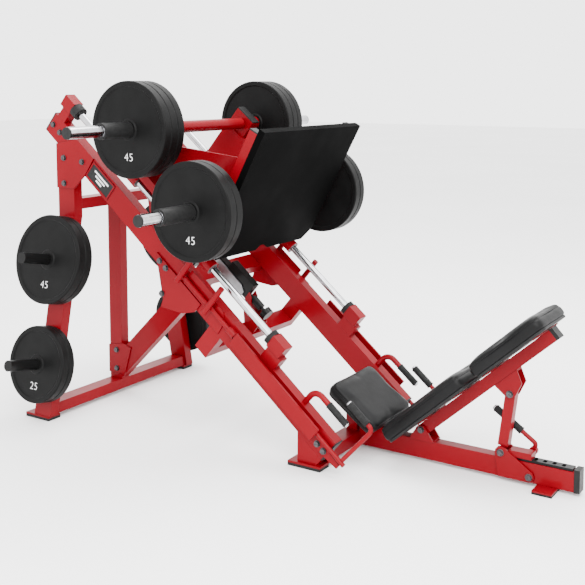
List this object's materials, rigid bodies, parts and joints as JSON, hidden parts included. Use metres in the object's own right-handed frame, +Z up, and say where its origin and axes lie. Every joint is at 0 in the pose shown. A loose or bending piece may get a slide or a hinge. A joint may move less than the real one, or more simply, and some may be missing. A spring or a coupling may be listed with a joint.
{
  "type": "leg press machine",
  "caption": "Plate-loaded inclined leg press: a weight sled on guide rods over a padded seat and adjustable backrest, with safety stops and plate storage.",
  "frame": {"origin": "on the floor, under the middle of the machine's bounding box", "axes": "+Z up, +X from the weight end to the head end of the backrest, the user's left is -Y"},
  "size_m": [2.5065, 1.718, 1.5362],
  "materials": {
    "red_paint": "gloss powder coat",
    "black_paint": "satin powder coat",
    "black_plastic": "matte",
    "chrome": "polished",
    "rubber": "matte",
    "plate_iron": "black coated",
    "zinc": "zinc plated",
    "upholstery": "grained",
    "foot_board": "textured",
    "bushing_nylon": "smooth",
    "badge": "gloss"
  },
  "bodies": {
    "frame": {"adjuster_rack": "black_paint", "backrest_bracket": "red_paint", "backrest_pin": "zinc", "base_beam": "red_paint", "centre_brace": "red_paint", "centre_damper": "black_paint", "centre_post": "red_paint", "damper_plate": "zinc", "foot_pads": "rubber", "foot_plates": "red_paint", "frame_bolts": "zinc", "front_cross_frame": "red_paint", "grab_grips": "rubber", "grab_handles": "red_paint", "guide_rods": "chrome", "gusset_plates": "red_paint", "name_plate": "badge", "post_bracket": "red_paint", "rail_left": "red_paint", "rail_right": "red_paint", "rear_cross_tubes": "red_paint", "rear_legs": "red_paint", "rod_brackets": "red_paint", "rod_bumpers": "rubber", "seat_frame": "red_paint", "seat_pad": "upholstery", "stop_blocks": "red_paint", "stop_guards": "red_paint", "storage_horns": "black_paint", "storage_plates": "plate_iron", "tube_end_caps": "black_plastic", "under_rail_cross_tubes": "red_paint"},
    "sled": {"guide_housings": "red_paint", "guide_bushings": "bushing_nylon", "sled_side_frames": "red_paint", "sled_caps": "black_plastic", "foot_frame": "red_paint", "foot_plate": "foot_board", "sled_webs": "red_paint", "sled_cross_tubes": "red_paint", "weight_horns": "chrome", "horn_roots": "red_paint", "spring_collars": "black_plastic", "weight_plates": "plate_iron"},
    "stop_left": {"stop_shaft_left": "red_paint", "release_lever_left": "red_paint", "lever_grip_left": "rubber"},
    "stop_right": {"stop_shaft_right": "red_paint", "release_lever_right": "red_paint", "lever_grip_right": "rubber"},
    "backrest": {"backrest_beam": "red_paint", "backrest_cap": "black_plastic", "strut_pin": "zinc", "pad_bars": "red_paint", "back_pad_lower": "upholstery", "back_pad_upper": "upholstery"},
    "strut_body": {"strut": "red_paint"},
    "trolley_body": {"trolley": "red_paint"},
    "adjuster": {"adjuster_lever": "red_paint", "adjuster_grip": "rubber"}
  },
  "joints": [
    {"name": "sled_slide", "type": "slide", "parent": "frame", "child": "sled", "axis": [0.7645, 0, -0.6447], "range_m": [-0.314, 0.378]},
    {"name": "stop_left_turn", "type": "hinge", "parent": "frame", "child": "stop_left", "pos_m": [0.00799, -0.35, 0.41171], "axis": [0.7645, 0, -0.6447], "range_deg": [0, 35]},
    {"name": "stop_right_turn", "type": "hinge", "parent": "frame", "child": "stop_right", "pos_m": [0.00799, 0.35, 0.41171], "axis": [-0.7645, 0, 0.6447], "range_deg": [0, 35]},
    {"name": "backrest_tilt", "type": "hinge", "parent": "frame", "child": "backrest", "pos_m": [0.6127, 0, 0.1345], "axis": [0, 1, 0], "range_deg": [0, 5]},
    {"name": "strut_swing", "type": "hinge", "parent": "backrest", "child": "strut_body", "pos_m": [0.97789, 0, 0.34373], "axis": [0, 1, 0], "range_deg": [-42.8, 0]},
    {"name": "trolley_slide", "type": "slide", "parent": "frame", "child": "trolley_body", "axis": [1, 0, 0], "range_m": [0, 0.166]},
    {"name": "adjuster_lift", "type": "hinge", "parent": "trolley_body", "child": "adjuster", "pos_m": [1.052, 0.048, 0.114], "axis": [0, 1, 0], "range_deg": [0, 14]}
  ],
  "couplings": [
    {"joint": "strut_swing", "follows": "backrest_tilt", "ratio": -8.54},
    {"joint": "trolley_slide", "follows": "backrest_tilt", "m_per_rad": 1.8908}
  ]
}
